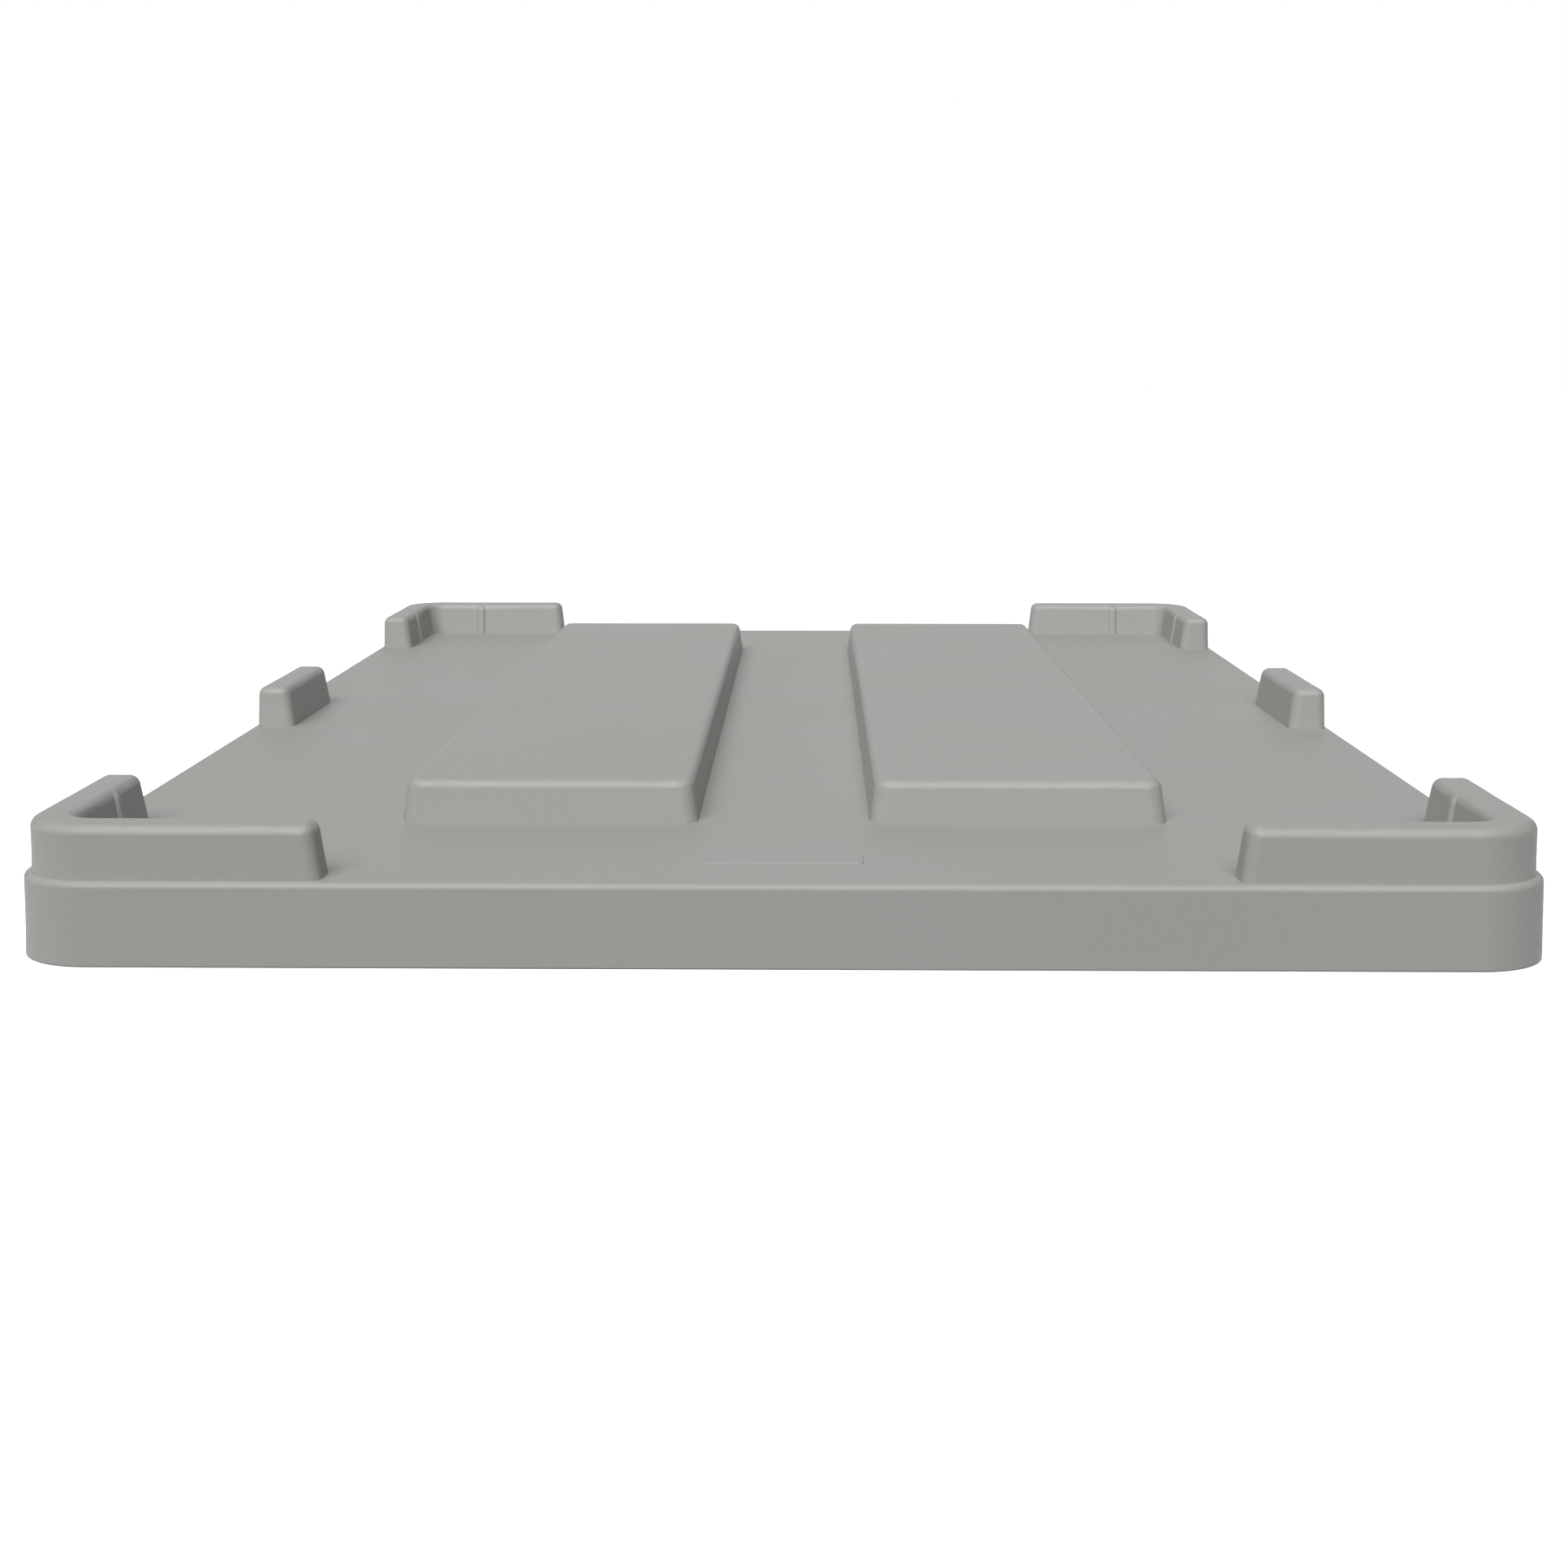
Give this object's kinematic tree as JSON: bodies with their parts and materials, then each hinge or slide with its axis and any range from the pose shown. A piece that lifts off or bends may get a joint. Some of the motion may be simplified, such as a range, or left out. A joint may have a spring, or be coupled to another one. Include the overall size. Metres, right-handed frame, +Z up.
{
  "type": "pallet container lid",
  "caption": "Skirted stacking lid for a pallet container, with corner and side locators and raised plateaus that centre the next pallet.",
  "frame": {"origin": "centre of the footprint, at the bottom of the skirt", "axes": "+X across the 800 mm side, +Y along the 1200 mm side, +Z up through the deck"},
  "size_m": [0.8, 1.2, 0.0739],
  "materials": {
    "grey_hdpe": "satin",
    "grey_hdpe_plug": "satin",
    "galvanised_steel": "galvanised",
    "black_ldpe": "satin"
  },
  "bodies": {
    "root": {"upper_sheet": "grey_hdpe", "lower_sheet": "grey_hdpe", "left_stiffener_tube": "galvanised_steel", "left_front_tube_plug": "black_ldpe", "left_rear_tube_plug": "black_ldpe", "left_front_vent_plug": "grey_hdpe_plug", "left_rear_vent_plug": "grey_hdpe_plug", "right_stiffener_tube": "galvanised_steel", "right_front_tube_plug": "black_ldpe", "right_rear_tube_plug": "black_ldpe", "right_front_vent_plug": "grey_hdpe_plug", "right_rear_vent_plug": "grey_hdpe_plug"}
  },
  "joints": []
}
